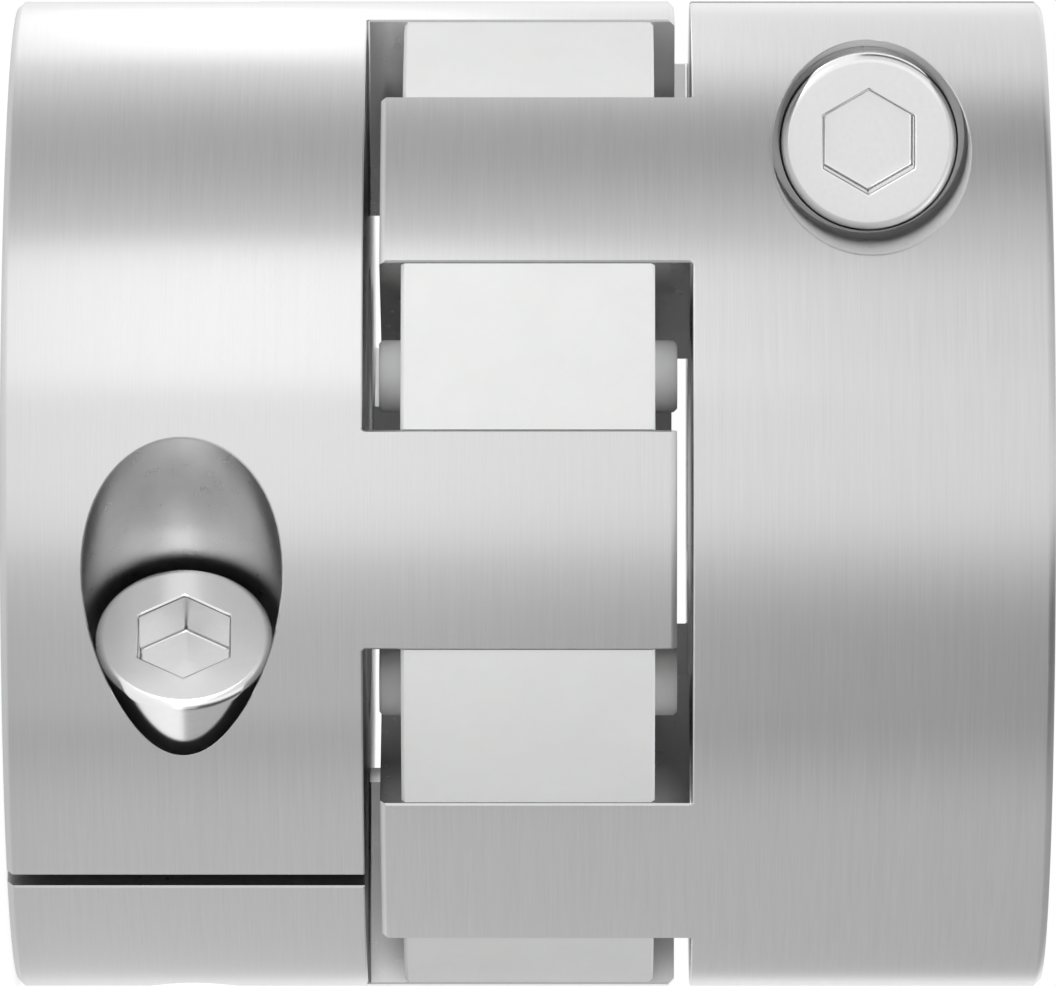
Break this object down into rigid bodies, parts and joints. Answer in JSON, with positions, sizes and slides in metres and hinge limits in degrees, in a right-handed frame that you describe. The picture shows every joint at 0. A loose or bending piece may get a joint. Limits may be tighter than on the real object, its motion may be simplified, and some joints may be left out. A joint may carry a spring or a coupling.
{
  "type": "jaw coupling",
  "caption": "Backlash-free jaw coupling: split clamping hubs with interlocking axial jaws around a white elastomer spider, each closed by a socket head cap screw.",
  "frame": {"origin": "on the shaft axis, in the plane of the lower hub's end face", "axes": "+Z along the shaft axis to the upper hub; -X is the side of the upper hub's slit; -Y is the side that the upper clamp screw's head faces"},
  "size_m": [0.056, 0.056, 0.058],
  "materials": {
    "hub_aluminium": "circumferentially brushed aluminium, fine turned grain",
    "spider_elastomer": "matte white cast polyurethane",
    "screw_steel": "smooth bright steel"
  },
  "bodies": {
    "root": {"lower_hub": "hub_aluminium", "upper_hub": "hub_aluminium", "spider": "spider_elastomer", "lower_clamp_screw": "screw_steel", "upper_clamp_screw": "screw_steel"}
  },
  "joints": []
}
